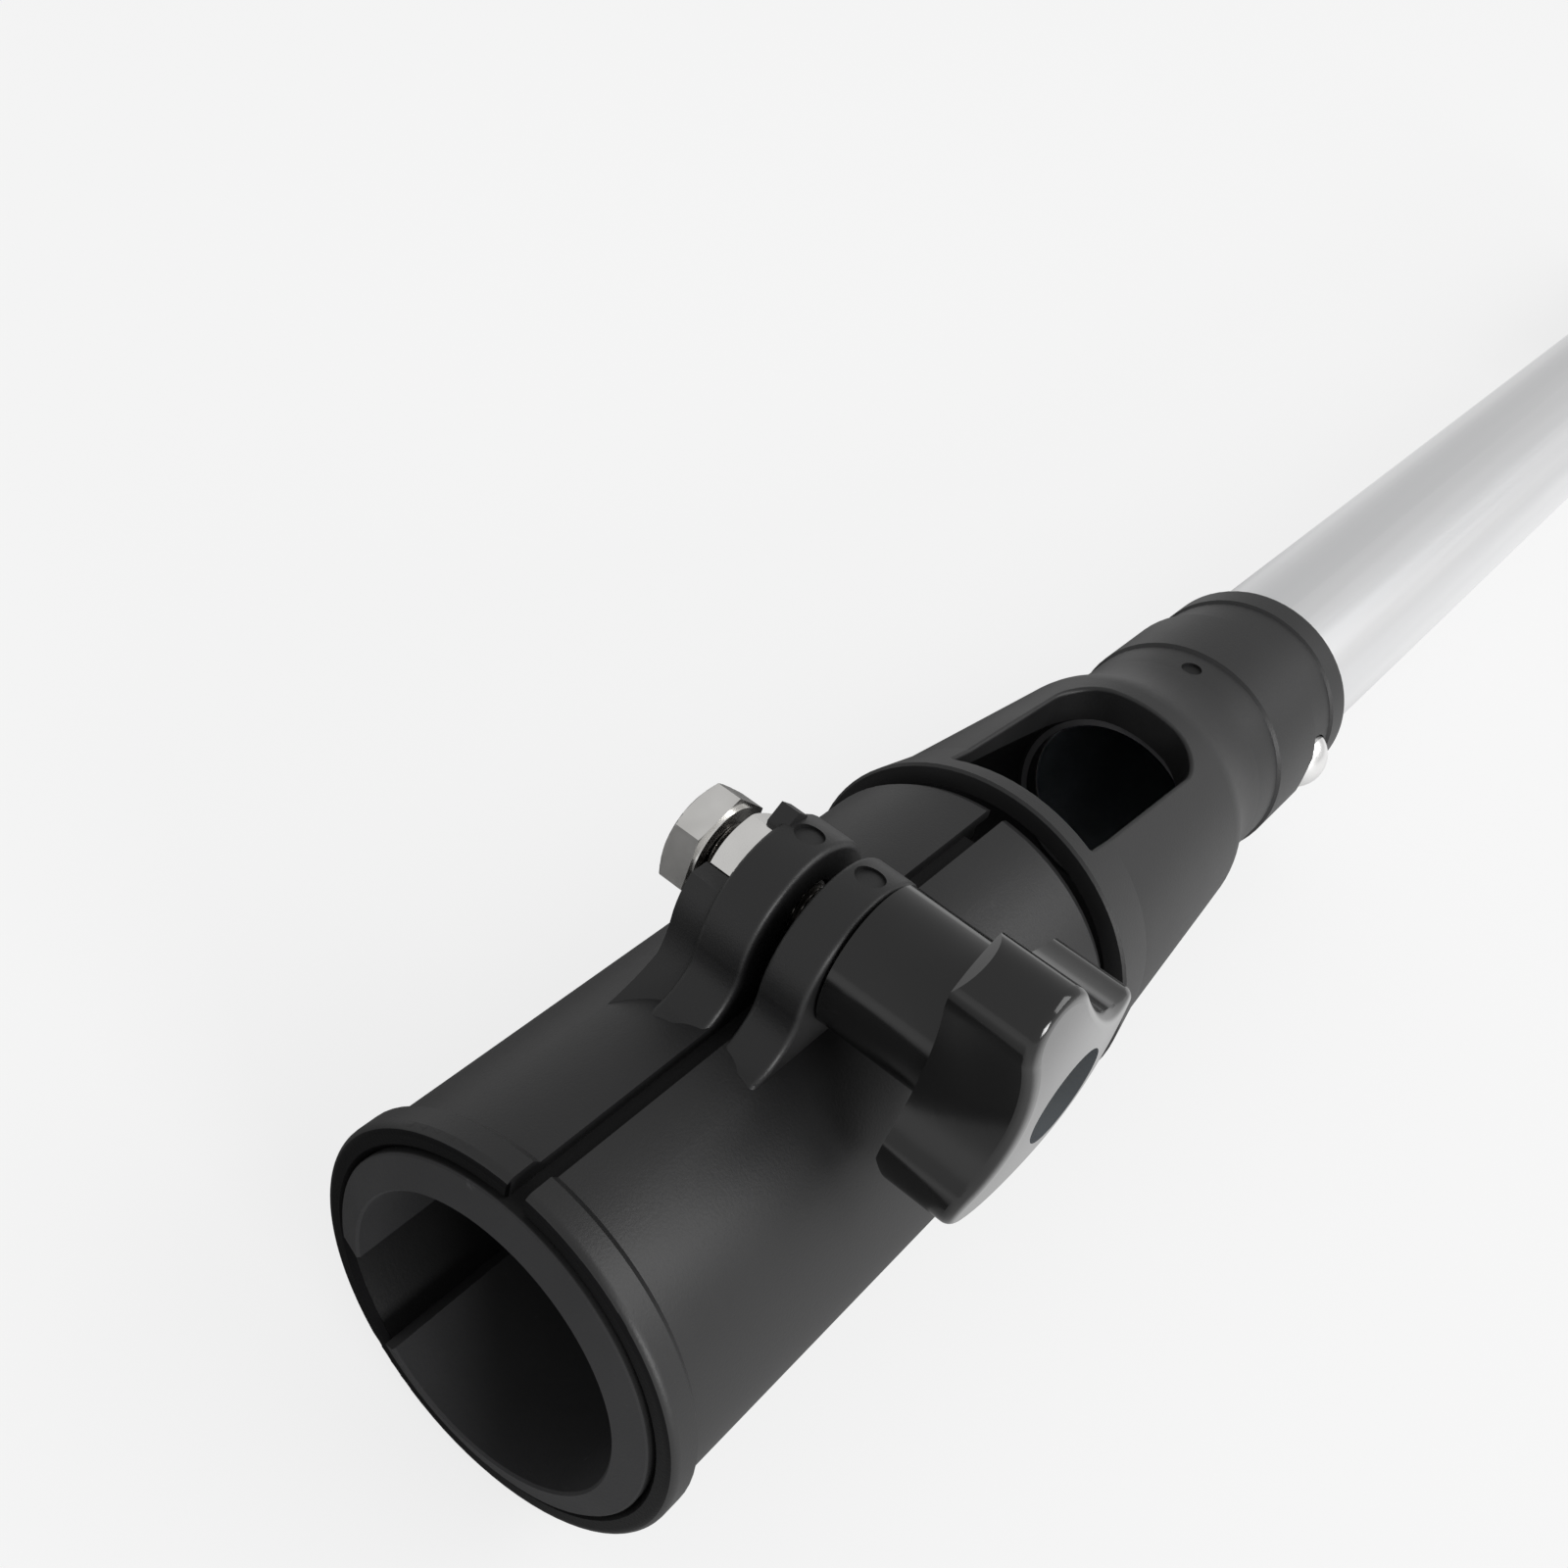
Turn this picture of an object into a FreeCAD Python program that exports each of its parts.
import FreeCAD, Part
import math
import os
import Sketcher

# Tiller extension for an outboard motor: a slotted nylon clamp that grips the tiller handle,
# drawn tight by a knob and bolt across two ears, and an aluminium tube held by a snap button.
# Frame: the origin is the centre of the clamp's mouth, +X runs along the tube towards the hand,
# +Z is the side of the slit and the ears, and the bolt lies along Y with its knob at -Y.

doc = FreeCAD.newDocument("tiller_extension")

# Driving sizes, in millimetres and degrees
SIZES = [
    ("barrel_rad", 26.1), ("barrel_wall", 1.9), ("bead_proud", 1.2), ("bead_wide", 5.1),
    ("bead_round", 1.2), ("bead_slope", 1.2), ("slot_start", 94.0), ("slot_end", 96.9),
    ("slot_sweep", 276.0), ("slot_deep", 5.0), ("barrel_bevel", 1.3), ("bevel_drop", 0.6),
    ("slit_half", 1.3), ("ring_proud", 1.4), ("ring_bevel", 0.4),
    ("cone_knee_at", 106.5), ("cone_knee_drop", 0.35),
    ("cone_end_at", 145.0), ("cone_end_drop", 3.7), ("knee_round", 14.0),
    ("shoulder_round", 31.9),
    ("neck_at", 158.5), ("neck_wall", 3.4), ("step_at", 165.4), ("step_drop", 0.9),
    ("step_run", 0.5), ("band_proud", 0.5), ("band_end", 180.0),
    ("lip_line_at", 189.7), ("lip_line_run", 0.4), ("lip_proud", 0.45),
    ("clamp_end", 196.0), ("end_round", 1.2), ("mouth_bevel", 0.7),
    ("stop_at", 88.0), ("stop_wide", 3.0), ("stop_lip", 2.0),
    ("cavity_end_rad", 16.7), ("ledge_at", 141.0), ("ledge_wide", 3.0), ("ledge_lip", 1.1),
    ("window_start", 100.7), ("window_end", 139.2), ("window_half", 12.0),
    ("window_corner", 6.5), ("window_round", 0.5),
    ("bolt_at", 48.0), ("bolt_above", 9.7), ("ear_left", 8.2), ("ear_right", 7.6),
    ("ear_rad", 11.8), ("ear_centre_above", 6.9), ("ear_sunk", 11.1), ("ear_round", 0.8),
    ("flank_foot", 6.0), ("toe_in", 5.6), ("toe_below", 0.45), ("toe_run", 0.8),
    ("toe_drop", 1.05),
    ("boss_side", 12.3), ("boss_inset", 0.4), ("boss_above", 13.35), ("boss_lap", 1.4),
    ("boss_toe_in", 7.6), ("boss_toe_below", 3.9), ("flare_side", 13.8), ("flare_above", 1.9),
    ("mark_rad", 1.95), ("mark_deep", 0.9), ("mark_at", 49.6), ("mark_out", 0.1),
    ("nib_at", 47.9), ("nib_wide", 4.4), ("nib_proud", 1.2), ("nib_side", 9.6),
    ("nib_lap", 1.2), ("nib_high", 3.0), ("nib_shoulder", 0.5),
    ("pin_mark_at", 160.8), ("pin_mark_side", 1.6), ("pin_mark_rad", 1.75),
    ("pin_mark_deep", 1.2),
    ("button_at", 184.0), ("button_rad", 5.2), ("button_fit", 0.08), ("fit", 0.05), ("gap", 0.3),
    ("button_proud", 2.0), ("button_dome", 3.1), ("flange_rad", 5.9),
    ("flange_drop", 1.6), ("flange_thick", 1.1), ("button_hole_rad", 5.5),
    ("liner_fit", 0.1), ("liner_thick", 4.25), ("liner_front", -1.7), ("liner_lean", 1.2),
    ("liner_gap_from", 103.0), ("liner_gap_to", 142.0), ("liner_edge", 0.3),
    ("tube_rad", 16.0), ("tube_wall", 1.4), ("tube_end", 604.0),
    ("shank_rad", 4.0), ("hex_across", 13.0), ("hex_fit", 0.15), ("head_inner", 14.6),
    ("head_thick", 4.2), ("head_turn", 20.4), ("face_rad", 6.1), ("face_thick", 0.45),
    ("shank_end", 30.3), ("nut_floor", 5.9), ("nut_thick", 6.5), ("hex_bevel", 1.0),
    ("shank_bevel", 0.9),
    ("hub_rad", 9.6), ("hub_start", 8.0), ("head_rear", 22.7), ("dome_top", 35.8),
    ("dome_rad", 73.5), ("dome_side", 22.0), ("lobe_reach", 14.1), ("lobe_rad", 5.5),
    ("lobe_turn", -6.0), ("valley_rad", 25.46), ("knob_round", 1.5), ("lobe_bevel", 1.6),
    ("well_rad", 6.4), ("well_floor", 31.1),
    ("washer_rad", 7.3), ("washer_thick", 1.2), ("insert_rad", 5.6), ("insert_groove", 0.5),
    ("groove_half", 0.9), ("insert_bevel", 0.5),
    ("leaf_half", 4.2), ("leaf_thick", 0.8), ("leaf_before", 5.4), ("leaf_flat", 6.0),
    ("leaf_long", 45.0), ("leaf_bend_rad", 4.6),
    ("grip_long", 118.0), ("grip_cap", 5.0), ("grip_thick", 3.0), ("grip_collar", 2.2),
    ("grip_ring", 6.0), ("collar_round", 1.2), ("grip_round", 3.0), ("grip_wall_end", 1.8),
    ("grip_lip", 2.0), ("plug_fit", 0.1), ("plug_deep", 14.0), ("plug_bevel", 1.0),
    ("past", 1.0),
]

sheet = doc.addObject("Spreadsheet::Sheet", "dims")
for row, (name, value) in enumerate(SIZES, start=1):
    sheet.set("A%d" % row, name)
    sheet.set("B%d" % row, "%g" % value)
    sheet.setAlias("B%d" % row, name)
doc.recompute()


class Size:
    """A length that keeps its number for a first guess and its formula for the model."""

    def __init__(self, value, text):
        self.value = value
        self.text = text

    def join(self, other, sign, value):
        return Size(value, "(%s %s %s)" % (self.text, sign, other.text))

    def __add__(self, other):
        other = size(other)
        return self.join(other, "+", self.value + other.value)

    def __sub__(self, other):
        other = size(other)
        return self.join(other, "-", self.value - other.value)

    def __mul__(self, other):
        other = size(other)
        return self.join(other, "*", self.value * other.value)

    def __truediv__(self, other):
        other = size(other)
        return self.join(other, "/", self.value / other.value)

    def __neg__(self):
        return Size(-self.value, "(0 - %s)" % self.text)


def size(item):
    """Turn a plain number into a Size."""
    if isinstance(item, Size):
        return item
    return Size(float(item), "%.9g" % item if item >= 0 else "(0 - %.9g)" % -item)


def root(item):
    return Size(math.sqrt(item.value), "sqrt(%s)" % item.text)


class Sizes:
    """The sheet's cells by name."""


D = Sizes()
for name, value in SIZES:
    setattr(D, name, Size(value, "dims.%s" % name))

# Sizes that follow from the driving ones
D.bore_rad = D.barrel_rad - D.barrel_wall
D.bead_rad = D.barrel_rad + D.bead_proud
D.ring_rad = D.barrel_rad + D.ring_proud
D.cone_knee_rad = D.barrel_rad - D.cone_knee_drop
D.cone_end_rad = D.barrel_rad - D.cone_end_drop
D.neck_rad = D.tube_rad + D.neck_wall
D.stop_rad = D.bore_rad - D.stop_lip
D.ledge_rad = D.tube_rad - D.ledge_lip
D.bolt_high = D.barrel_rad + D.bolt_above
D.ear_centre_high = D.barrel_rad + D.ear_centre_above
D.ear_inner_high = D.barrel_rad - D.ear_sunk
D.ear_top = D.ear_centre_high + D.ear_rad
D.boss_high = D.barrel_rad + D.boss_above
D.flare_high = D.barrel_rad + D.flare_above
D.mark_left = (D.ear_left + D.slit_half) / 2 - D.mark_out
D.mark_right = (D.ear_right + D.slit_half) / 2 - D.mark_out
D.mark_floor = D.ear_top - D.mark_deep
D.nib_top = D.ear_top + D.nib_proud
D.pin_mark_floor = D.neck_rad - D.pin_mark_deep
D.button_tip = D.neck_rad + D.button_proud
D.flange_side = D.tube_rad - D.tube_wall - D.flange_drop
D.leaf_side = D.flange_side - D.flange_thick - D.gap
D.leaf_start = D.button_at - D.leaf_before
D.leaf_bend_from = D.button_at + D.leaf_flat
D.leaf_bend_at = D.button_at + D.leaf_long
D.liner_rad = D.bore_rad - D.liner_fit
D.liner_bore_rad = D.liner_rad - D.liner_thick
D.grip_start = D.tube_end - D.grip_long
D.grip_end = D.tube_end + D.grip_cap
D.grip_rad = D.tube_rad + D.grip_thick
D.plug_rad = D.tube_rad - D.tube_wall - D.plug_fit


def plane(body, role):
    """One of the body's own origin planes."""
    for feature in body.Origin.OriginFeatures:
        if feature.Role == role:
            return feature
    raise RuntimeError("no plane " + role)


def new_body(name):
    body = doc.addObject("PartDesign::Body", name)
    body.Label = name
    return body


def new_sketch(body, role, name, offset=None):
    """A sketch on an origin plane, moved along the plane's normal by offset."""
    sketch = body.newObject("Sketcher::SketchObject", name)
    sketch.AttachmentSupport = [(plane(body, role), "")]
    sketch.MapMode = "FlatFace"
    if offset is not None:
        sketch.setExpression("AttachmentOffset.Base.z", size(offset).text)
    return sketch


def hold(sketch, kind, *where):
    """Add one constraint; a Size at the end becomes its formula."""
    if isinstance(where[-1], Size):
        number = where[-1].value
        index = sketch.addConstraint(Sketcher.Constraint(kind, *where[:-1], number))
        sketch.setExpression("Constraints[%d]" % index, where[-1].text)
        return index
    return sketch.addConstraint(Sketcher.Constraint(kind, *where))


def fix_point(sketch, geometry, end, point):
    """Place one end of a line or arc by its two coordinates."""
    across, up = size(point[0]), size(point[1])
    if abs(across.value) < 1e-9:
        hold(sketch, "PointOnObject", geometry, end, -2)
    else:
        hold(sketch, "DistanceX", -1, 1, geometry, end, across)
    if abs(up.value) < 1e-9:
        hold(sketch, "PointOnObject", geometry, end, -1)
    else:
        hold(sketch, "DistanceY", -1, 1, geometry, end, up)


def outline(sketch, corners, arcs=None):
    """A closed outline through the corners. arcs gives, for the side that leaves a corner,
    its radius and the side on which the centre lies: +1 left of the way to the next corner."""
    arcs = arcs or {}
    count = len(corners)
    spots = []
    for corner in corners:
        spots.append(FreeCAD.Vector(size(corner[0]).value, size(corner[1]).value, 0))
    ends = []
    for i in range(count):
        a = spots[i]
        b = spots[(i + 1) % count]
        if i in arcs:
            radius, side = arcs[i]
            r = size(radius).value
            middle = (a + b) * 0.5
            chord = b - a
            left = FreeCAD.Vector(-chord.y, chord.x, 0)
            left.normalize()
            centre = middle + left * (side * math.sqrt(max(r * r - chord.Length ** 2 / 4, 0)))
            way = (middle - centre)
            if way.Length < 1e-9:
                way = left * -side
            way.normalize()
            number = sketch.addGeometry(Part.Arc(a, centre + way * r, b), False)
            flip = side < 0
            ends.append((number, 2, 1) if flip else (number, 1, 2))
            hold(sketch, "Radius", number, size(radius))
        else:
            number = sketch.addGeometry(Part.LineSegment(a, b), False)
            ends.append((number, 1, 2))
    for i in range(count):
        number, first, last = ends[i]
        after, after_first, _ = ends[(i + 1) % count]
        hold(sketch, "Coincident", number, last, after, after_first)
        fix_point(sketch, number, first, corners[i])
    return sketch


def circle(sketch, at, radius):
    centre = FreeCAD.Vector(size(at[0]).value, size(at[1]).value, 0)
    shape = Part.Circle(centre, FreeCAD.Vector(0, 0, 1), size(radius).value)
    number = sketch.addGeometry(shape, False)
    hold(sketch, "Radius", number, size(radius))
    fix_point(sketch, number, 3, at)
    return number


def hexagon(sketch, across, turn):
    """A regular hexagon about the origin, its first corner at the angle turn."""
    reach = size(across) / math.sqrt(3)
    corners = []
    for i in range(6):
        angle = math.radians(turn + 60 * i)
        corners.append((reach * math.cos(angle), reach * math.sin(angle)))
    return outline(sketch, corners)


def pad(body, sketch, length, name, both=False, back=False):
    feature = body.newObject("PartDesign::Pad", name)
    feature.Profile = sketch
    feature.setExpression("Length", size(length).text)
    feature.Midplane = both
    feature.Reversed = back
    doc.recompute()
    return feature


def pocket(body, sketch, length, name, both=False, back=False):
    """Cut the sketch out of the body, and make sure that something was cut."""
    before = body.Shape.Volume
    feature = body.newObject("PartDesign::Pocket", name)
    feature.Profile = sketch
    if length is None:
        feature.Type = 1
    else:
        feature.setExpression("Length", size(length).text)
    feature.Midplane = both
    feature.Reversed = back
    doc.recompute()
    if body.Shape.Volume >= before - 1e-6:
        raise RuntimeError(name + " cuts nothing")
    return feature


def revolve(body, sketch, axis, name, cut=False, angle=None):
    before = body.Shape.Volume if cut else 0
    kind = "PartDesign::Groove" if cut else "PartDesign::Revolution"
    feature = body.newObject(kind, name)
    feature.Profile = sketch
    feature.ReferenceAxis = (sketch, [axis])
    if angle is None:
        feature.Angle = 360.0
    else:
        feature.Midplane = True
        feature.setExpression("Angle", angle.text)
    doc.recompute()
    if cut and body.Shape.Volume >= before - 1e-6:
        raise RuntimeError(name + " cuts nothing")
    return feature


def round_edges(body, radius, name, wanted):
    """Round the edges that wanted picks, on the body as it is now."""
    base = body.Tip
    names = []
    for i, edge in enumerate(base.Shape.Edges, start=1):
        if wanted(edge):
            names.append("Edge%d" % i)
    feature = body.newObject("PartDesign::Fillet", name)
    feature.Base = (base, names)
    feature.setExpression("Radius", size(radius).text)
    doc.recompute()
    return feature


def along_bolt(body):
    """Stand a body on the bolt's axis: its own Z runs along -Y, towards the knob."""
    body.Placement = FreeCAD.Placement(
        FreeCAD.Vector(0, 0, 0), FreeCAD.Rotation(FreeCAD.Vector(1, 0, 0), 90)
    )
    body.setExpression("Placement.Base.x", D.bolt_at.text)
    body.setExpression("Placement.Base.z", D.bolt_high.text)
    return body


parts = []

# Clamp body, one nylon moulding
clamp = new_body("clamp_body")
clamp.AllowCompound = True

# The two ears come first, as blocks with rounded edges that the barrel then joins. Each one is
# an S-sided hump: a flank rises from the barrel in a hollow fillet and closes in a round top.


def hump(sketch, flank, foot_high, toe_in, toe_high, below, top=None):
    """A hump's outline about the bolt. Below are the toe's own corners, as steps out and down.
    A top cuts the round off level at that height."""
    rise = foot_high - toe_high
    fillet = (toe_in * toe_in + rise * rise) / (toe_in * 2)
    side = [(flank + toe_in, toe_high), (flank, foot_high)]
    out, high = side[0]
    for run, drop in below:
        out, high = out + run, high - drop
        side.insert(0, (out, high))
    side.insert(0, (out, D.ear_inner_high))
    toe = len(below) + 1
    if foot_high is not D.ear_centre_high:
        side.append((flank, D.ear_centre_high))
    corners = [(D.bolt_at + out, high) for out, high in side]
    shoulder = len(corners) - 1
    arcs = {toe: (fillet, -1), shoulder: (flank, 1)}
    if top is None:
        corners.append((D.bolt_at, D.ear_centre_high + flank))
    else:
        half = root(flank * flank - (top - D.ear_centre_high) * (top - D.ear_centre_high))
        corners.append((D.bolt_at + half, top))
        corners.append((D.bolt_at - half, top))
    arcs[len(corners) - 1] = (flank, 1)
    first = len(corners)
    for out, high in reversed(side):
        corners.append((D.bolt_at - out, high))
    arcs[first + shoulder - toe - 1] = (fillet, -1)
    return outline(sketch, corners, arcs)


foot_high = D.barrel_rad + D.flank_foot
toe_high = D.barrel_rad - D.toe_below
for name, start, stop in (
    ("left_ear", D.ear_left, D.slit_half),
    ("right_ear", -D.slit_half, -D.ear_right),
):
    ear = new_sketch(clamp, "XZ_Plane", name + "_sides", offset=-start)
    hump(ear, D.ear_rad, foot_high, D.toe_in, toe_high, [(D.toe_run, D.toe_drop)])
    pad(clamp, ear, start - stop, name)
ear_levels = [D.ear_left, D.slit_half, -D.slit_half, -D.ear_right]
ear_edge_low = (D.barrel_rad - D.past).value


def ear_edge(edge):
    """An edge of an ear's side that stays clear of the barrel."""
    box = edge.BoundBox
    for level in ear_levels:
        if abs(box.YMin - level.value) < 1e-4 and abs(box.YMax - level.value) < 1e-4:
            return box.ZMax > ear_edge_low
    return False


round_edges(clamp, D.ear_round, "ear_rounds", ear_edge)

# The outside is turned: bead, barrel, ring, two cones, shoulder, neck, band, collar and lip.
profile = new_sketch(clamp, "XZ_Plane", "clamp_outside")
lip_rad = D.neck_rad - D.step_drop
end_rad = lip_rad + D.lip_proud
band_rad = D.neck_rad + D.band_proud
outside = [
    (0, 0),
    (0, D.bead_rad - D.bead_round),
    (D.bead_round, D.bead_rad),
    (D.bead_wide - D.bead_slope, D.bead_rad),
    (D.bead_wide, D.barrel_rad),
    (D.slot_start - D.barrel_bevel, D.barrel_rad),
    (D.slot_start, D.barrel_rad - D.bevel_drop),
    (D.slot_end, D.barrel_rad - D.bevel_drop),
    (D.slot_end, D.ring_rad - D.ring_bevel),
    (D.slot_end + D.ring_bevel, D.ring_rad),
    (D.cone_knee_at, D.cone_knee_rad),
    (D.cone_end_at, D.cone_end_rad),
    (D.neck_at, D.neck_rad),
    (D.step_at, D.neck_rad),
    (D.step_at + D.step_run, band_rad),
    (D.band_end, band_rad),
    (D.band_end + D.step_run, lip_rad),
    (D.lip_line_at, lip_rad),
    (D.lip_line_at + D.lip_line_run, end_rad),
    (D.clamp_end - D.end_round, end_rad),
    (D.clamp_end, end_rad - D.end_round),
    (D.clamp_end, 0),
]
outline(profile, outside, {1: (D.bead_round, -1), 11: (D.shoulder_round, 1), 19: (D.end_round, -1)})
revolve(clamp, profile, "H_Axis", "turned_outside")


def knee_edge(edge):
    """The circle where the cone meets the shoulder."""
    box = edge.BoundBox
    at = D.cone_end_at.value
    near = D.fit.value
    level = abs(box.XMin - at) < near and abs(box.XMax - at) < near
    return level and abs(box.ZMax - D.cone_end_rad.value) < near


round_edges(clamp, D.knee_round, "knee_round_edge", knee_edge)

# On the bolt-head side a lower boss leans on the ear, cradles the nut and flares at its foot.
boss = new_sketch(clamp, "XZ_Plane", "boss_sides", offset=-D.flare_side)
boss_flank = D.ear_rad - D.boss_inset
boss_toe_high = D.barrel_rad - D.boss_toe_below
hump(boss, boss_flank, D.ear_centre_high, D.boss_toe_in, boss_toe_high, [], D.boss_high)
pad(clamp, boss, D.flare_side - D.ear_left + D.boss_lap, "boss")
flare_reach = D.ear_rad * 2
flare = new_sketch(clamp, "YZ_Plane", "flare_cut", offset=D.bolt_at - flare_reach)
outline(
    flare,
    [
        (D.boss_side, D.boss_high + D.past),
        (D.boss_side, D.flare_high),
        (D.flare_side, boss_toe_high - D.past),
        (D.flare_side + D.past, boss_toe_high - D.past),
        (D.flare_side + D.past, D.boss_high + D.past),
    ],
)
pocket(clamp, flare, flare_reach * 2, "flare", back=True)

# A small pointed nib on the ear's edge keeps the nut from working out of its seat.
nib = new_sketch(clamp, "XZ_Plane", "nib_side", offset=-D.nib_side)
outline(
    nib,
    [
        (D.nib_at, D.nib_top - D.nib_high),
        (D.nib_at + D.nib_wide, D.nib_top - D.nib_high),
        (D.nib_at + D.nib_wide, D.ear_top - D.nib_shoulder),
        (D.nib_at + D.nib_wide / 2, D.nib_top),
        (D.nib_at, D.ear_top - D.nib_shoulder),
    ],
)
pad(clamp, nib, D.nib_side - D.ear_left + D.nib_lap, "nib")

# The inside is turned out: liner seat, stop, open cavity, ledge and the socket for the tube.
inside_sketch = new_sketch(clamp, "XZ_Plane", "clamp_inside")
socket_rad = D.tube_rad + D.fit
socket_start = D.ledge_at + D.ledge_wide
outline(
    inside_sketch,
    [
        (-D.past, 0),
        (-D.past, D.bore_rad + D.mouth_bevel + D.past),
        (D.mouth_bevel, D.bore_rad),
        (D.stop_at, D.bore_rad),
        (D.stop_at, D.stop_rad),
        (D.stop_at + D.stop_wide, D.stop_rad),
        (D.stop_at + D.stop_wide, D.bore_rad),
        (D.window_start, D.bore_rad),
        (D.ledge_at, D.cavity_end_rad),
        (D.ledge_at, D.ledge_rad),
        (socket_start, D.ledge_rad),
        (socket_start, socket_rad),
        (D.clamp_end + D.past, socket_rad),
        (D.clamp_end + D.past, 0),
    ],
)
revolve(clamp, inside_sketch, "H_Axis", "turned_inside", cut=True)

# The slit runs along the top from the mouth to the cross slot, and parts the ears.
slit = new_sketch(clamp, "XY_Plane", "slit_outline")
outline(
    slit,
    [
        (-D.past, -D.slit_half),
        (D.slot_start + D.past, -D.slit_half),
        (D.slot_start + D.past, D.slit_half),
        (-D.past, D.slit_half),
    ],
)
pocket(clamp, slit, None, "slit", back=True)

# The cross slot frees the barrel to close; the underside stays whole and acts as the hinge.
slot = new_sketch(clamp, "XZ_Plane", "cross_slot_section")
outline(
    slot,
    [
        (D.slot_start, D.bore_rad - D.slot_deep),
        (D.slot_end, D.bore_rad - D.slot_deep),
        (D.slot_end, D.barrel_rad + D.slot_deep),
        (D.slot_start, D.barrel_rad + D.slot_deep),
    ],
)
revolve(clamp, slot, "H_Axis", "cross_slot", cut=True, angle=D.slot_sweep)

# The window in the cone has a straight near edge and a far end with round corners.
window = new_sketch(clamp, "XY_Plane", "window_outline")
outline(
    window,
    [
        (D.window_start, -D.window_half),
        (D.window_end - D.window_corner, -D.window_half),
        (D.window_end, -D.window_half + D.window_corner),
        (D.window_end, D.window_half - D.window_corner),
        (D.window_end - D.window_corner, D.window_half),
        (D.window_start, D.window_half),
    ],
    {1: (D.window_corner, 1), 3: (D.window_corner, 1)},
)
pocket(clamp, window, None, "window", back=True)


def wall_middle(x):
    """The radius halfway through the cone's wall."""
    along = (x - D.window_start.value) / (D.ledge_at - D.window_start).value
    inner = D.bore_rad.value + along * (D.cavity_end_rad - D.bore_rad).value
    along = (x - D.cone_knee_at.value) / (D.cone_end_at - D.cone_knee_at).value
    outer = D.cone_knee_rad.value + along * (D.cone_end_rad - D.cone_knee_rad).value
    return (inner + outer) / 2


def window_edge(edge):
    """The window's outer rim, on the cone."""
    box = edge.BoundBox
    near = D.fit.value
    along = box.XMin > D.window_start.value - near and box.XMax < D.window_end.value + near
    across = max(abs(box.YMin), abs(box.YMax)) < D.window_half.value + near
    spot = edge.valueAt((edge.FirstParameter + edge.LastParameter) / 2)
    outer = math.hypot(spot.y, spot.z) > wall_middle(spot.x)
    return along and across and outer and spot.z > 0


round_edges(clamp, D.window_round, "window_rounds", window_edge)

# Bolt hole through both ears, and the six-sided seat that keeps the nut from turning.
bolt_hole = new_sketch(clamp, "XZ_Plane", "bolt_hole_outline")
circle(bolt_hole, (D.bolt_at, D.bolt_high), D.shank_rad + D.gap)
pocket(clamp, bolt_hole, D.flare_side * 4, "bolt_hole", both=True)
seat = new_sketch(clamp, "XZ_Plane", "nut_seat_outline", offset=-D.nut_floor)
seat_reach = (D.hex_across + D.hex_fit * 2) / math.sqrt(3)
seat_corners = []
for i in range(6):
    angle = math.radians(30 + 60 * i)
    across = D.bolt_at + seat_reach * math.cos(angle)
    seat_corners.append((across, D.bolt_high + seat_reach * math.sin(angle)))
outline(seat, seat_corners)
pocket(clamp, seat, D.flare_side, "nut_seat")

# Round marks on the ears' tops, and the blind mark on the neck.
marks = new_sketch(clamp, "XY_Plane", "ear_marks_outline", offset=D.mark_floor)
circle(marks, (D.mark_at, D.mark_left), D.mark_rad)
circle(marks, (D.mark_at, -D.mark_right), D.mark_rad)
pocket(clamp, marks, D.mark_deep + D.past, "ear_marks", back=True)
pin_mark = new_sketch(clamp, "XY_Plane", "neck_mark_outline", offset=D.pin_mark_floor)
circle(pin_mark, (D.pin_mark_at, D.pin_mark_side), D.pin_mark_rad)
pocket(clamp, pin_mark, D.pin_mark_deep + D.past, "neck_mark", back=True)

# Cross holes for the snap button's two ends.
button_holes = new_sketch(clamp, "XZ_Plane", "button_holes_outline")
circle(button_holes, (D.button_at, 0), D.button_hole_rad)
pocket(clamp, button_holes, D.barrel_rad * 2, "button_holes", both=True)
parts.append(clamp)

# Grip liner, a thick rubber sleeve with an open gap, whose front face leans outward
liner = new_body("grip_liner")
sleeve = new_sketch(liner, "XZ_Plane", "sleeve_section")
outline(
    sleeve,
    [
        (D.liner_front, D.liner_bore_rad + D.liner_edge),
        (D.liner_front + D.liner_edge, D.liner_bore_rad),
        (D.stop_at, D.liner_bore_rad),
        (D.stop_at, D.liner_rad),
        (D.liner_front + D.liner_lean + D.liner_edge, D.liner_rad),
        (D.liner_front + D.liner_lean, D.liner_rad - D.liner_edge),
    ],
)
revolve(liner, sleeve, "H_Axis", "sleeve")
gap = new_sketch(liner, "YZ_Plane", "liner_gap_outline", offset=D.liner_front - D.past)
gap_from = math.radians(D.liner_gap_from.value)
gap_to = math.radians(D.liner_gap_to.value)
inner_reach = D.liner_bore_rad / 2
outer_reach = D.liner_rad * 2
outline(
    gap,
    [
        (inner_reach * math.sin(gap_from), inner_reach * math.cos(gap_from)),
        (inner_reach * math.sin(gap_to), inner_reach * math.cos(gap_to)),
        (outer_reach * math.sin(gap_to), outer_reach * math.cos(gap_to)),
        (outer_reach * math.sin(gap_from), outer_reach * math.cos(gap_from)),
    ],
)
pocket(liner, gap, D.stop_at + D.past * 3, "liner_gap", back=True)
parts.append(liner)


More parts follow.
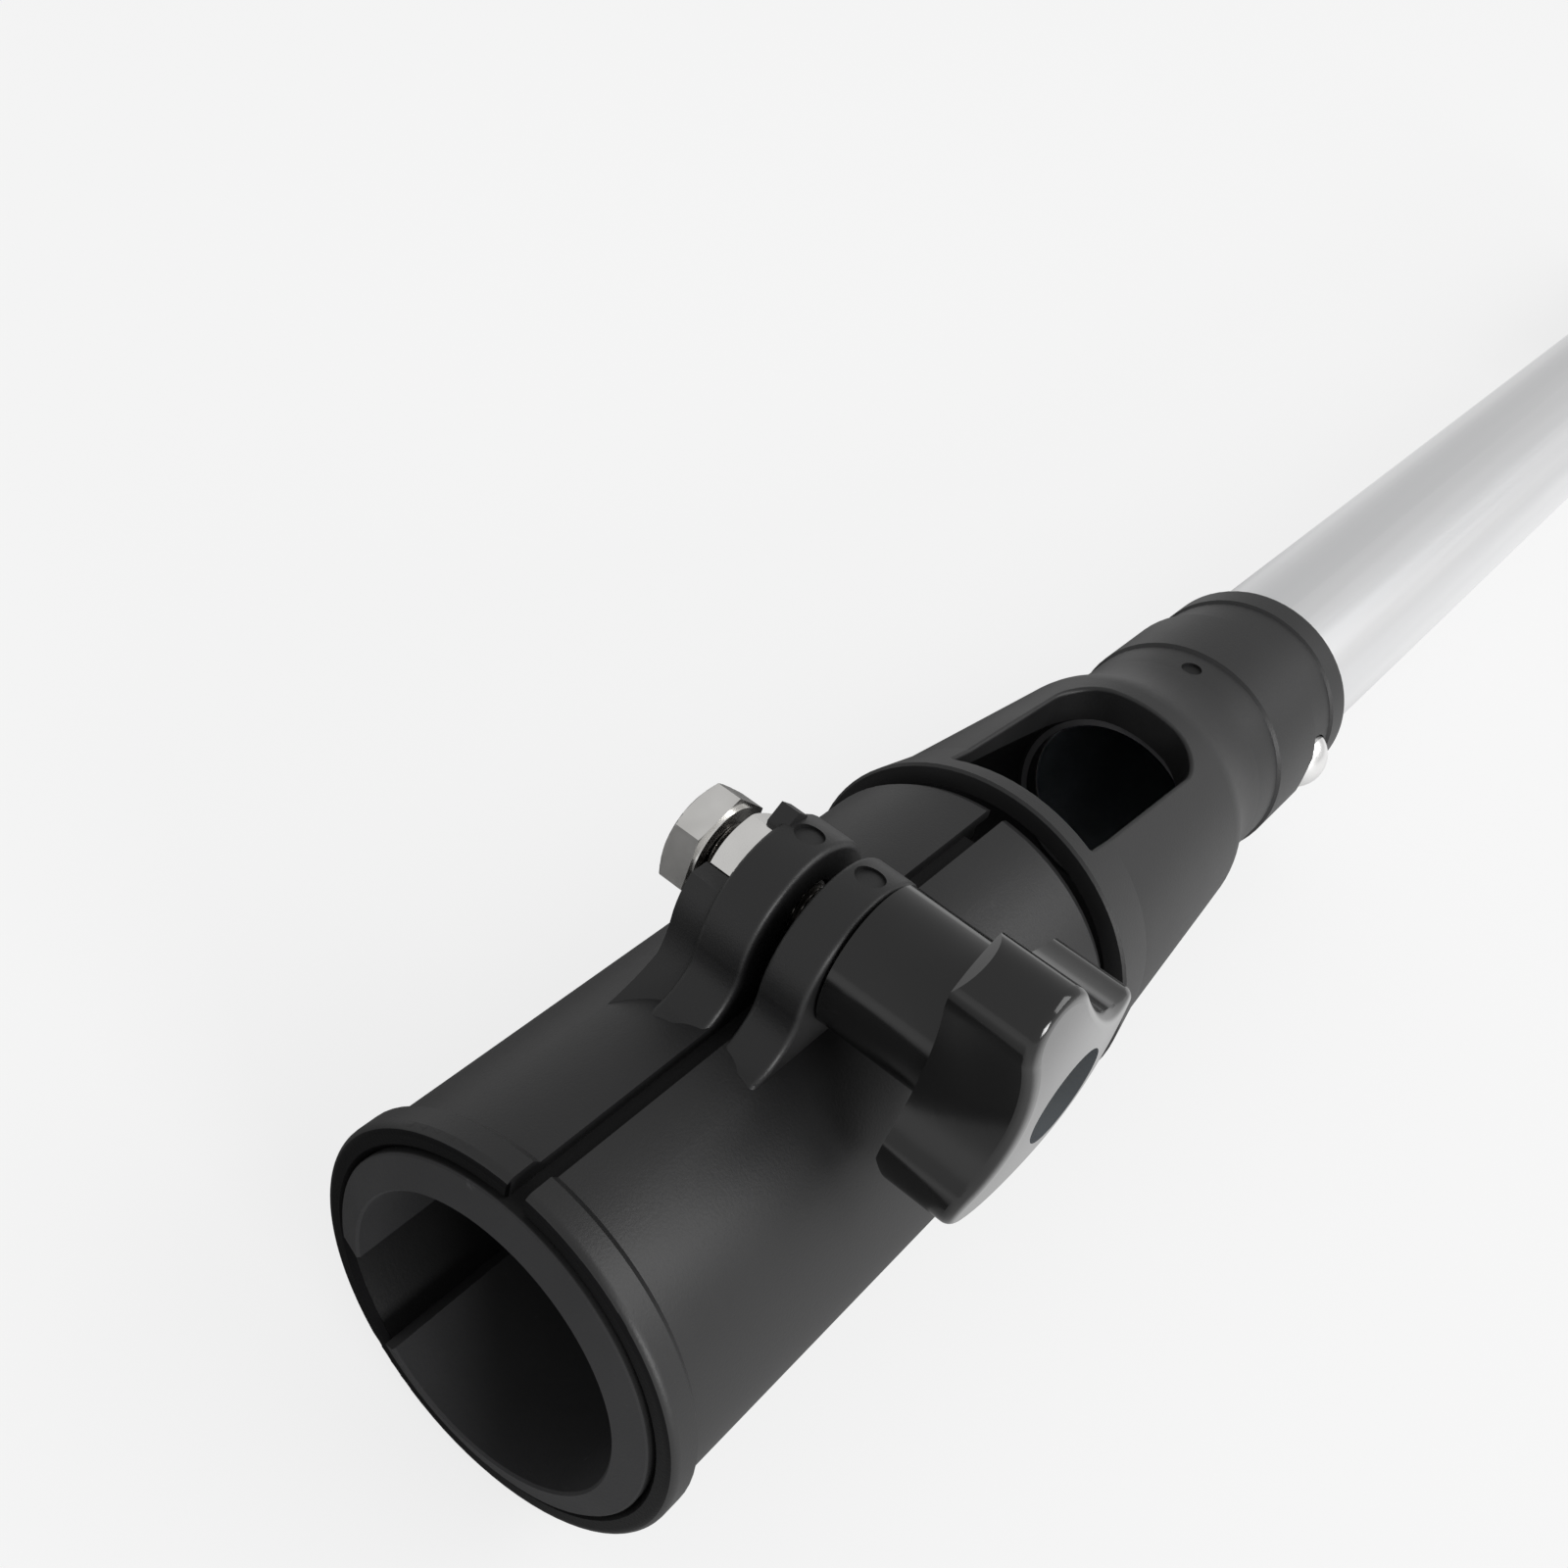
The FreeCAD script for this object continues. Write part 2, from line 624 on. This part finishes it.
def bevel_hex(body, near, far, name, ends):
    """Turn the corners of a hexagonal block off at its ends, as on a real nut."""
    flat = D.hex_across / 2 - D.fit * 2
    outer = D.hex_across / math.sqrt(3) + D.past
    for number, end in enumerate(ends, start=1):
        sketch = new_sketch(body, "XZ_Plane", "%s_%d_section" % (name, number))
        level, inward = (near, 1) if end == "near" else (far, -1)
        outline(
            sketch,
            [
                (flat, level - D.fit * inward),
                (outer, level - D.fit * inward),
                (outer, level + D.hex_bevel * inward),
                (flat, level),
            ],
        )
        revolve(body, sketch, "V_Axis", "%s_%d" % (name, number), cut=True)


# Clamp bolt: six-sided head with its washer face, and a plain shank as long as the thread
bolt = along_bolt(new_body("clamp_bolt"))
head = new_sketch(bolt, "XY_Plane", "head_outline", offset=-(D.head_inner + D.head_thick))
hexagon(head, D.hex_across, D.head_turn.value)
pad(bolt, head, D.head_thick, "head")
bevel_hex(bolt, -(D.head_inner + D.head_thick), -D.head_inner, "head_bevel", ["near"])
face = new_sketch(bolt, "XY_Plane", "washer_face_outline", offset=-D.head_inner)
circle(face, (0, 0), D.face_rad)
pad(bolt, face, D.face_thick, "washer_face")
shank = new_sketch(bolt, "XZ_Plane", "shank_section")
outline(
    shank,
    [
        (0, -D.head_inner - D.past),
        (D.shank_rad, -D.head_inner - D.past),
        (D.shank_rad, D.shank_end - D.shank_bevel),
        (D.shank_rad - D.shank_bevel, D.shank_end),
        (0, D.shank_end),
    ],
)
revolve(bolt, shank, "V_Axis", "shank")
parts.append(bolt)

# Captive nut, seated in the boss
nut = along_bolt(new_body("captive_nut"))
nut_outline = new_sketch(nut, "XY_Plane", "nut_outline", offset=-(D.nut_floor + D.nut_thick))
hexagon(nut_outline, D.hex_across, 30)
pad(nut, nut_outline, D.nut_thick, "nut_block")
nut_bore = new_sketch(nut, "XY_Plane", "nut_bore_outline")
circle(nut_bore, (0, 0), D.shank_rad + D.fit)
pocket(nut, nut_bore, D.nut_thick * 4, "nut_bore", both=True)
bevel_hex(nut, -(D.nut_floor + D.nut_thick), -D.nut_floor, "nut_bevel", ["near", "far"])
parts.append(nut)

# Thrust washer, lying in the recess of the knob's hub
washer = along_bolt(new_body("thrust_washer"))
washer_start = D.ear_right + D.gap
ring = new_sketch(washer, "XY_Plane", "washer_outline", offset=washer_start)
circle(ring, (0, 0), D.washer_rad)
circle(ring, (0, 0), D.shank_rad + D.fit)
pad(washer, ring, D.washer_thick, "washer_ring")
parts.append(washer)

# Clamp knob: round hub, three lobes and a domed face with a well in its middle
knob = along_bolt(new_body("clamp_knob"))
hub = new_sketch(knob, "XY_Plane", "hub_outline", offset=D.hub_start)
circle(hub, (0, 0), D.hub_rad)
pad(knob, hub, D.head_rear - D.hub_start + D.past, "hub")
lobes = new_sketch(knob, "XY_Plane", "lobes_outline", offset=D.head_rear)
reach = D.lobe_reach.value
tip = D.lobe_rad.value
valley = D.valley_rad.value
far = (reach + math.sqrt(reach ** 2 - 4 * (reach ** 2 - (valley + tip) ** 2))) / 2
turn = D.lobe_turn.value
tips = []
for i in range(3):
    angle = math.radians(turn + 120 * i)
    tips.append(FreeCAD.Vector(reach * math.cos(angle), reach * math.sin(angle), 0))
hollows = []
for i in range(3):
    angle = math.radians(turn + 60 + 120 * i)
    hollows.append(FreeCAD.Vector(far * math.cos(angle), far * math.sin(angle), 0))


def towards(a, b, distance):
    way = b - a
    way.normalize()
    return a + way * distance


tip_arcs = []
hollow_arcs = []
for i in range(3):
    start = towards(tips[i], hollows[i - 1], tip)
    end = towards(tips[i], hollows[i], tip)
    top = tips[i] + tips[i] * (tip / reach)
    tip_arcs.append(lobes.addGeometry(Part.Arc(start, top, end), False))
for i in range(3):
    start = towards(tips[i], hollows[i], tip)
    end = towards(tips[(i + 1) % 3], hollows[i], tip)
    low = hollows[i] - hollows[i] * (valley / far)
    hollow_arcs.append(lobes.addGeometry(Part.Arc(start, low, end), False))
for i in range(3):
    angle = math.radians(turn + 120 * i)
    spot = (D.lobe_reach * math.cos(angle), D.lobe_reach * math.sin(angle))
    fix_point(lobes, tip_arcs[i], 3, spot)
    hold(lobes, "Radius", tip_arcs[i], D.lobe_rad)
for i in range(3):
    hold(lobes, "Radius", hollow_arcs[i], D.valley_rad)
    # a hollow runs clockwise about its own centre, so its stored start is at the next lobe
    hold(lobes, "Tangent", tip_arcs[i], 2, hollow_arcs[i], 2)
    hold(lobes, "Tangent", tip_arcs[(i + 1) % 3], 1, hollow_arcs[i], 1)
pad(knob, lobes, D.dome_top - D.head_rear + D.past, "lobes")
dome = new_sketch(knob, "XZ_Plane", "dome_section")
dome_drop = D.dome_rad - root(D.dome_rad * D.dome_rad - D.dome_side * D.dome_side)
outline(
    dome,
    [
        (0, D.dome_top),
        (D.dome_side, D.dome_top - dome_drop),
        (D.dome_side, D.dome_top + D.past * 2),
        (0, D.dome_top + D.past * 2),
    ],
    {0: (D.dome_rad, -1)},
)
revolve(knob, dome, "V_Axis", "domed_face", cut=True)
front_level = (D.dome_top - dome_drop).value - D.past.value


def knob_rim(edge):
    """The outer edges of the knob's face."""
    return edge.BoundBox.ZMin > front_level


round_edges(knob, D.knob_round, "knob_rounds", knob_rim)
lobe_top = D.lobe_reach + D.lobe_rad
rear_bevel = new_sketch(knob, "XZ_Plane", "lobe_bevel_section")
outline(
    rear_bevel,
    [
        (lobe_top - D.lobe_bevel, D.head_rear),
        (lobe_top - D.lobe_bevel, D.head_rear - D.past),
        (lobe_top + D.past, D.head_rear - D.past),
        (lobe_top + D.past, D.head_rear + D.lobe_bevel + D.past),
    ],
)
revolve(knob, rear_bevel, "V_Axis", "lobe_bevels", cut=True)
well = new_sketch(knob, "XZ_Plane", "well_section")
insert_hole = D.insert_rad + D.fit
washer_floor = washer_start + D.washer_thick + D.gap
outline(
    well,
    [
        (0, D.hub_start - D.past),
        (D.washer_rad + D.gap, D.hub_start - D.past),
        (D.washer_rad + D.gap, washer_floor),
        (insert_hole, washer_floor),
        (insert_hole, D.well_floor),
        (D.well_rad, D.well_floor),
        (D.well_rad, D.dome_top + D.past),
        (0, D.dome_top + D.past),
    ],
)
revolve(knob, well, "V_Axis", "well", cut=True)
parts.append(knob)

# Knob insert, the brass bush that the bolt is fixed in
insert = along_bolt(new_body("knob_insert"))
bush = new_sketch(insert, "XZ_Plane", "bush_section")
waist = D.insert_rad - D.insert_groove
bush_middle = (washer_floor + D.well_floor) / 2
outline(
    bush,
    [
        (D.shank_rad + D.fit, washer_floor),
        (D.insert_rad, washer_floor),
        (D.insert_rad, bush_middle - D.groove_half - D.insert_groove),
        (waist, bush_middle - D.groove_half),
        (waist, bush_middle + D.groove_half),
        (D.insert_rad, bush_middle + D.groove_half + D.insert_groove),
        (D.insert_rad, D.well_floor - D.insert_bevel),
        (D.insert_rad - D.insert_bevel, D.well_floor),
        (D.shank_rad + D.fit, D.well_floor),
    ],
)
revolve(insert, bush, "V_Axis", "bush")
parts.append(insert)

# Extension tube
tube = new_body("extension_tube")
wall = new_sketch(tube, "XZ_Plane", "tube_section")
tube_bore = D.tube_rad - D.tube_wall
outline(
    wall,
    [
        (socket_start, tube_bore),
        (D.tube_end, tube_bore),
        (D.tube_end, D.tube_rad),
        (socket_start, D.tube_rad),
    ],
)
revolve(tube, wall, "H_Axis", "tube_wall")
tube_holes = new_sketch(tube, "XZ_Plane", "tube_holes_outline")
circle(tube_holes, (D.button_at, 0), D.button_rad + D.button_fit)
pocket(tube, tube_holes, D.tube_rad * 3, "tube_holes", both=True)
parts.append(tube)


# Snap button: two domed ends on one leaf, each with a flange inside the tube
def snap_button(name, side):
    body = new_body(name)
    turn_to = FreeCAD.Rotation(FreeCAD.Vector(1, 0, 0), -90 * side)
    body.Placement = FreeCAD.Placement(FreeCAD.Vector(0, 0, 0), turn_to)
    body.setExpression("Placement.Base.x", D.button_at.text)
    section = new_sketch(body, "XZ_Plane", name + "_section")
    flange_inner = D.flange_side - D.flange_thick
    dome_base = D.button_tip - D.button_dome
    dome_curve = (D.button_dome * D.button_dome + D.button_rad * D.button_rad) / (
        D.button_dome * 2
    )
    outline(
        section,
        [
            (0, flange_inner),
            (D.flange_rad, flange_inner),
            (D.flange_rad, D.flange_side),
            (D.button_rad, D.flange_side),
            (D.button_rad, dome_base),
            (0, D.button_tip),
        ],
        {4: (dome_curve, 1)},
    )
    revolve(body, section, "V_Axis", name + "_turned")
    return body


parts.append(snap_button("snap_button_left", 1))
parts.append(snap_button("snap_button_right", -1))

# Button spring: one bent leaf that carries both ends and presses them outwards
spring = new_body("button_spring")
leaf = new_sketch(spring, "XY_Plane", "leaf_path")
inner_side = D.leaf_side - D.leaf_thick
inner_bend = D.leaf_bend_rad - D.leaf_thick
# A half circle whose radius is a hair over half its chord is still found by the sketch.
ease = 1.0001
outline(
    leaf,
    [
        (D.leaf_start, D.leaf_side),
        (D.leaf_start, inner_side),
        (D.leaf_bend_from, inner_side),
        (D.leaf_bend_at, inner_bend),
        (D.leaf_bend_at, -inner_bend),
        (D.leaf_bend_from, -inner_side),
        (D.leaf_start, -inner_side),
        (D.leaf_start, -D.leaf_side),
        (D.leaf_bend_from, -D.leaf_side),
        (D.leaf_bend_at, -D.leaf_bend_rad),
        (D.leaf_bend_at, D.leaf_bend_rad),
        (D.leaf_bend_from, D.leaf_side),
    ],
    {3: (inner_bend * ease, -1), 9: (D.leaf_bend_rad * ease, 1)},
)
pad(spring, leaf, D.leaf_half * 2, "leaf", both=True)
parts.append(spring)

# Hand grip, a plain soft sleeve with a collar at its inner end and a closed outer end
grip = new_body("hand_grip")
grip_section = new_sketch(grip, "XZ_Plane", "grip_section")
outline(
    grip_section,
    [
        (D.grip_start, D.tube_rad + D.fit),
        (D.grip_start, D.grip_rad + D.grip_collar - D.collar_round),
        (D.grip_start + D.collar_round, D.grip_rad + D.grip_collar),
        (D.grip_start + D.grip_ring, D.grip_rad + D.grip_collar),
        (D.grip_start + D.grip_ring + D.grip_round, D.grip_rad),
        (D.grip_end - D.grip_round, D.grip_rad),
        (D.grip_end, D.grip_rad - D.grip_round),
        (D.grip_end, D.plug_rad - D.grip_lip),
        (D.tube_end + D.grip_wall_end, D.plug_rad - D.grip_lip),
        (D.tube_end + D.grip_wall_end, D.tube_rad + D.fit),
    ],
    {1: (D.collar_round, -1), 5: (D.grip_round, -1)},
)
revolve(grip, grip_section, "H_Axis", "grip_sleeve")
parts.append(grip)

# End plug, pressed into the tube under the grip's end
plug = new_body("end_plug")
plug_section = new_sketch(plug, "XZ_Plane", "plug_section")
outline(
    plug_section,
    [
        (D.tube_end - D.plug_deep, 0),
        (D.tube_end - D.plug_deep, D.plug_rad - D.plug_bevel),
        (D.tube_end - D.plug_deep + D.plug_bevel, D.plug_rad),
        (D.tube_end, D.plug_rad),
        (D.tube_end, D.tube_rad),
        (D.tube_end + D.grip_wall_end, D.tube_rad),
        (D.tube_end + D.grip_wall_end, 0),
    ],
)
revolve(plug, plug_section, "H_Axis", "plug_turned")
parts.append(plug)

# Check every object and write one file for each piece
doc.recompute()
for item in doc.Objects:
    if "Invalid" in item.State or "Error" in item.State:
        raise RuntimeError("%s: %s" % (item.Name, item.State))
os.makedirs("parts", exist_ok=True)
for body in parts:
    shape = body.Shape
    if shape.isNull() or not shape.isValid() or len(shape.Solids) != 1:
        raise RuntimeError("bad shape " + body.Label)
    box = shape.BoundBox
    print(
        "%-18s %8.0f mm3  x %.1f..%.1f  y %.1f..%.1f  z %.1f..%.1f"
        % (body.Label, shape.Volume, box.XMin, box.XMax, box.YMin, box.YMax, box.ZMin, box.ZMax)
    )
    shape.exportStep("parts/%s.step" % body.Label)
